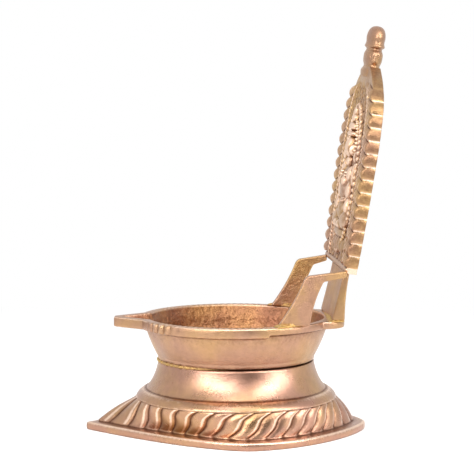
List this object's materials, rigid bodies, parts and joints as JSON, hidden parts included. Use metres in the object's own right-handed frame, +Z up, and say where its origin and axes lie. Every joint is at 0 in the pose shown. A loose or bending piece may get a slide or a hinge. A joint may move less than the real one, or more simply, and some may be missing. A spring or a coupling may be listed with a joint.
{
  "type": "oil lamp",
  "caption": "Cast bronze oil lamp: leaf-shaped gadrooned foot, round bowl with a wick spout, and side arms that carry a leaning relief back plate.",
  "frame": {"origin": "on the axis of the bowl, in the plane that the foot stands on", "axes": "+Z up, the wick spout points to -Y, the back plate stands at +Y"},
  "size_m": [0.082, 0.105, 0.142],
  "materials": {
    "cast_bronze": "polished cast copper bronze with darker recesses",
    "bowl_bronze": "polished outside, rough as cast inside",
    "arm_bronze": "rough as cast faces with polished front edges",
    "plate_bronze": "relief casting, bright ridges over brown recesses",
    "braze": "grainy yellow brazing metal"
  },
  "bodies": {
    "root": {"foot": "cast_bronze", "neck_braze": "braze", "bowl": "bowl_bronze", "right_arm": "arm_bronze", "left_arm": "arm_bronze", "right_arm_braze": "braze", "left_arm_braze": "braze", "post_braze": "braze", "back_plate": "plate_bronze"}
  },
  "joints": []
}
